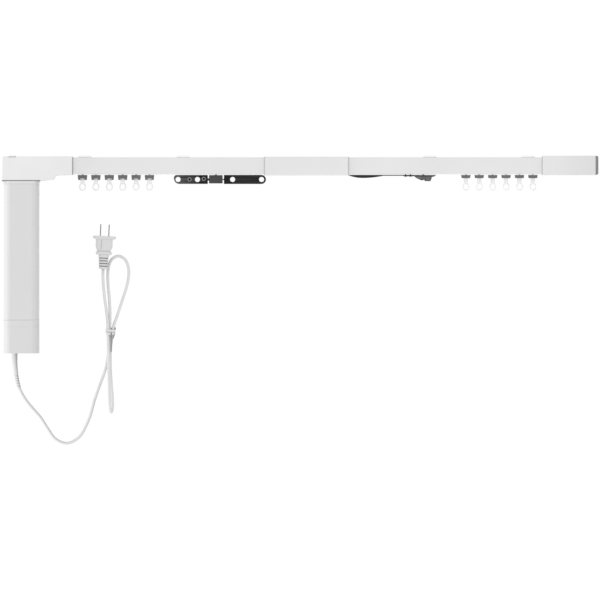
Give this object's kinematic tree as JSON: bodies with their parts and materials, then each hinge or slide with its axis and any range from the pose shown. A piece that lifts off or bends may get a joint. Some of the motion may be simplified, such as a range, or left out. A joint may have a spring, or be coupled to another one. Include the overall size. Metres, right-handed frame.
{
  "type": "electric curtain track",
  "caption": "Ceiling-mounted motorised curtain track: slotted rail with belt drive, hanging tube motor, master carriers, sliding hook runners and a tied mains lead.",
  "frame": {"origin": "on the ceiling plane, at the middle of the rail's length and depth: the centre of the outer brackets' screw pattern", "axes": "+X along the track away from the motor, +Y up to the ceiling when it hangs, +Z out of the front face, which looks up as the track lies on its back"},
  "size_m": [0.8945, 0.4339, 0.044],
  "materials": {
    "rail_white": "satin powder coat",
    "case_white": "satin",
    "motor_grey": "satin",
    "end_grey": "satin",
    "dark_plastic": "satin",
    "runner_grey": "satin",
    "clear_white": "gloss",
    "steel": "brushed",
    "bronze": "plain",
    "belt_black": "matt",
    "cord_grey": "satin",
    "board_green": "lacquer",
    "blade_metal": "nickel"
  },
  "bodies": {
    "track": {"left_rail": "rail_white", "right_rail": "rail_white", "joint_sleeve": "rail_white", "bracket_plates": "rail_white", "drive_housing": "case_white", "drive_lid": "case_white", "idler_housing": "case_white", "end_plate": "end_grey", "case_screws": "steel", "belt": "belt_black", "idler_axle": "steel", "pulley_bushes": "bronze", "rail_seals": "end_grey", "motor_seal": "end_grey", "motor_collar": "case_white", "motor_casing": "motor_grey", "motor_cap": "case_white", "gearbox": "steel", "motor_can": "steel", "control_board": "board_green", "light_pipe": "clear_white", "cord_gland": "cord_grey", "cord": "cord_grey", "cord_tie": "clear_white", "plug_body": "cord_grey", "plug_blades": "blade_metal"},
    "drive": {"drive_pulley": "clear_white", "drive_shaft": "steel"},
    "idler": {"idler_pulley": "clear_white"},
    "latch": {"release_latch": "end_grey"},
    "button": {"setting_button": "end_grey"},
    "lever_1": {"bracket_lever_1": "steel"},
    "lever_2": {"bracket_lever_2": "steel"},
    "lever_3": {"bracket_lever_3": "steel"},
    "lever_4": {"bracket_lever_4": "steel"},
    "left_master": {"left_carriage": "dark_plastic", "left_tail_arm": "dark_plastic", "left_lead_arm": "dark_plastic", "left_rivets": "steel", "left_clamp": "dark_plastic"},
    "right_master": {"right_carriage": "dark_plastic", "right_lead_arm": "dark_plastic", "right_rivets": "steel", "right_clamp": "dark_plastic"},
    "left_wheelset_a": {"left_wheels_a": "dark_plastic"},
    "left_wheelset_b": {"left_wheels_b": "dark_plastic"},
    "right_wheelset_a": {"right_wheels_a": "dark_plastic"},
    "right_wheelset_b": {"right_wheels_b": "dark_plastic"},
    "glider_l1": {"runner_l1": "runner_grey"},
    "glider_l2": {"runner_l2": "runner_grey"},
    "glider_l3": {"runner_l3": "runner_grey"},
    "glider_l4": {"runner_l4": "runner_grey"},
    "glider_l5": {"runner_l5": "runner_grey"},
    "glider_l6": {"runner_l6": "runner_grey"},
    "glider_r1": {"runner_r1": "runner_grey"},
    "glider_r2": {"runner_r2": "runner_grey"},
    "glider_r3": {"runner_r3": "runner_grey"},
    "glider_r4": {"runner_r4": "runner_grey"},
    "glider_r5": {"runner_r5": "runner_grey"},
    "glider_r6": {"runner_r6": "runner_grey"}
  },
  "joints": [
    {"name": "left_master_slide", "type": "slide", "parent": "track", "child": "left_master", "axis": [1, 0, 0], "range_m": [-0.028, 0.06]},
    {"name": "right_master_slide", "type": "slide", "parent": "track", "child": "right_master", "axis": [1, 0, 0], "range_m": [-0.06, 0.028]},
    {"name": "runner_l1_slide", "type": "slide", "parent": "track", "child": "glider_l1", "axis": [1, 0, 0], "range_m": [-0.0045, 0.0091]},
    {"name": "runner_l2_slide", "type": "slide", "parent": "track", "child": "glider_l2", "axis": [1, 0, 0], "range_m": [-0.0085, 0.0176]},
    {"name": "runner_l3_slide", "type": "slide", "parent": "track", "child": "glider_l3", "axis": [1, 0, 0], "range_m": [-0.0125, 0.0262]},
    {"name": "runner_l4_slide", "type": "slide", "parent": "track", "child": "glider_l4", "axis": [1, 0, 0], "range_m": [-0.0165, 0.0348]},
    {"name": "runner_l5_slide", "type": "slide", "parent": "track", "child": "glider_l5", "axis": [1, 0, 0], "range_m": [-0.0205, 0.0434]},
    {"name": "runner_l6_slide", "type": "slide", "parent": "track", "child": "glider_l6", "axis": [1, 0, 0], "range_m": [-0.0245, 0.0519]},
    {"name": "runner_r1_slide", "type": "slide", "parent": "track", "child": "glider_r1", "axis": [1, 0, 0], "range_m": [-0.0091, 0.0045]},
    {"name": "runner_r2_slide", "type": "slide", "parent": "track", "child": "glider_r2", "axis": [1, 0, 0], "range_m": [-0.0176, 0.0085]},
    {"name": "runner_r3_slide", "type": "slide", "parent": "track", "child": "glider_r3", "axis": [1, 0, 0], "range_m": [-0.0262, 0.0125]},
    {"name": "runner_r4_slide", "type": "slide", "parent": "track", "child": "glider_r4", "axis": [1, 0, 0], "range_m": [-0.0348, 0.0165]},
    {"name": "runner_r5_slide", "type": "slide", "parent": "track", "child": "glider_r5", "axis": [1, 0, 0], "range_m": [-0.0434, 0.0205]},
    {"name": "runner_r6_slide", "type": "slide", "parent": "track", "child": "glider_r6", "axis": [1, 0, 0], "range_m": [-0.0519, 0.0245]},
    {"name": "release_latch_slide", "type": "slide", "parent": "track", "child": "latch", "axis": [-1, 0, 0], "range_m": [0, 0.003], "stiffness_N_per_m": 150, "springref_m": -0.004},
    {"name": "setting_button_press", "type": "slide", "parent": "track", "child": "button", "axis": [0, 1, 0], "range_m": [0, 0.0008], "stiffness_N_per_m": 300, "springref_m": -0.001},
    {"name": "drive_pulley_turn", "type": "hinge", "parent": "track", "child": "drive", "pos_m": [-0.4275, -0.013, 0], "axis": [0, 1, 0], "range_deg": [-170, 350]},
    {"name": "idler_pulley_turn", "type": "hinge", "parent": "track", "child": "idler", "pos_m": [0.4, -0.013, 0], "axis": [0, 1, 0], "range_deg": [-170, 350]},
    {"name": "left_wheels_a_turn", "type": "hinge", "parent": "left_master", "child": "left_wheelset_a", "pos_m": [-0.149, -0.0224, 0], "axis": [0, 0, 1], "range_deg": [-1156, 545]},
    {"name": "left_wheels_b_turn", "type": "hinge", "parent": "left_master", "child": "left_wheelset_b", "pos_m": [-0.123, -0.0224, 0], "axis": [0, 0, 1], "range_deg": [-1156, 545]},
    {"name": "right_wheels_a_turn", "type": "hinge", "parent": "right_master", "child": "right_wheelset_a", "pos_m": [0.162, -0.0224, 0], "axis": [0, 0, 1], "range_deg": [-545, 1156]},
    {"name": "right_wheels_b_turn", "type": "hinge", "parent": "right_master", "child": "right_wheelset_b", "pos_m": [0.188, -0.0224, 0], "axis": [0, 0, 1], "range_deg": [-545, 1156]},
    {"name": "bracket_lever_1_turn", "type": "hinge", "parent": "track", "child": "lever_1", "pos_m": [-0.336, -0.003, 0], "axis": [0, -1, 0], "range_deg": [0, 80]},
    {"name": "bracket_lever_2_turn", "type": "hinge", "parent": "track", "child": "lever_2", "pos_m": [-0.189, -0.003, 0], "axis": [0, -1, 0], "range_deg": [0, 80]},
    {"name": "bracket_lever_3_turn", "type": "hinge", "parent": "track", "child": "lever_3", "pos_m": [0.189, -0.003, 0], "axis": [0, 1, 0], "range_deg": [0, 80]},
    {"name": "bracket_lever_4_turn", "type": "hinge", "parent": "track", "child": "lever_4", "pos_m": [0.336, -0.003, 0], "axis": [0, 1, 0], "range_deg": [0, 80]}
  ],
  "couplings": [
    {"joint": "right_master_slide", "follows": "left_master_slide", "ratio": -1},
    {"joint": "runner_l1_slide", "follows": "left_master_slide", "ratio": 0.1429},
    {"joint": "runner_l2_slide", "follows": "left_master_slide", "ratio": 0.2857},
    {"joint": "runner_l3_slide", "follows": "left_master_slide", "ratio": 0.4286},
    {"joint": "runner_l4_slide", "follows": "left_master_slide", "ratio": 0.5714},
    {"joint": "runner_l5_slide", "follows": "left_master_slide", "ratio": 0.7143},
    {"joint": "runner_l6_slide", "follows": "left_master_slide", "ratio": 0.8571},
    {"joint": "runner_r1_slide", "follows": "left_master_slide", "ratio": -0.1429},
    {"joint": "runner_r2_slide", "follows": "left_master_slide", "ratio": -0.2857},
    {"joint": "runner_r3_slide", "follows": "left_master_slide", "ratio": -0.4286},
    {"joint": "runner_r4_slide", "follows": "left_master_slide", "ratio": -0.5714},
    {"joint": "runner_r5_slide", "follows": "left_master_slide", "ratio": -0.7143},
    {"joint": "runner_r6_slide", "follows": "left_master_slide", "ratio": -0.8571},
    {"joint": "drive_pulley_turn", "follows": "left_master_slide", "rad_per_m": 100},
    {"joint": "idler_pulley_turn", "follows": "left_master_slide", "rad_per_m": 100},
    {"joint": "left_wheels_a_turn", "follows": "left_master_slide", "rad_per_m": -333.33},
    {"joint": "left_wheels_b_turn", "follows": "left_master_slide", "rad_per_m": -333.33},
    {"joint": "right_wheels_a_turn", "follows": "left_master_slide", "rad_per_m": 333.33},
    {"joint": "right_wheels_b_turn", "follows": "left_master_slide", "rad_per_m": 333.33}
  ]
}
